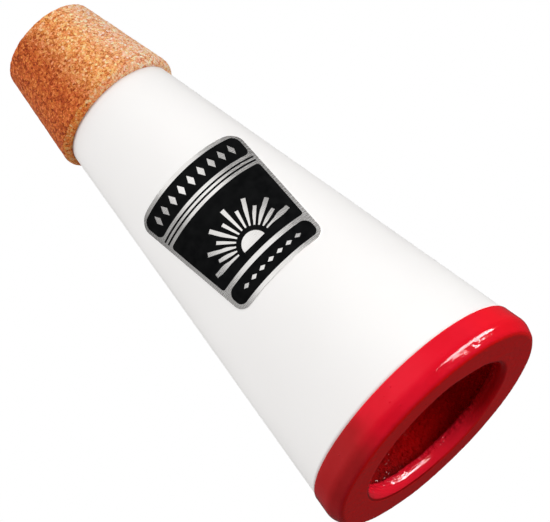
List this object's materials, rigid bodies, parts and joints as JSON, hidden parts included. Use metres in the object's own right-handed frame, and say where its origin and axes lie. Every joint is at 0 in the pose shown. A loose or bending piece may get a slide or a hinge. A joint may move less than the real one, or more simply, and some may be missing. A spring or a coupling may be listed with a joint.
{
  "type": "wah-wah mute",
  "caption": "Open-ended conical brass mute: stone-lined fibreboard cone, painted mouth ring, full cork sleeve that seals in the bell, foil label.",
  "frame": {"origin": "centre of the mouth ring's flat end face, on which the mute stands", "axes": "+Z along the mute's axis, from the mouth ring to the cork; the label faces -Y, and +X is to the right of somebody who looks at the label"},
  "size_m": [0.062, 0.062, 0.14],
  "materials": {
    "white_coat": "satin",
    "red_paint": "gloss",
    "stone_lining": "satin",
    "cork": "matte",
    "foil": "satin"
  },
  "bodies": {
    "root": {"cone_shell": "white_coat", "end_ring": "red_paint", "stone_lining": "stone_lining", "cork_sleeve": "cork", "foil_label": "foil"}
  },
  "joints": []
}
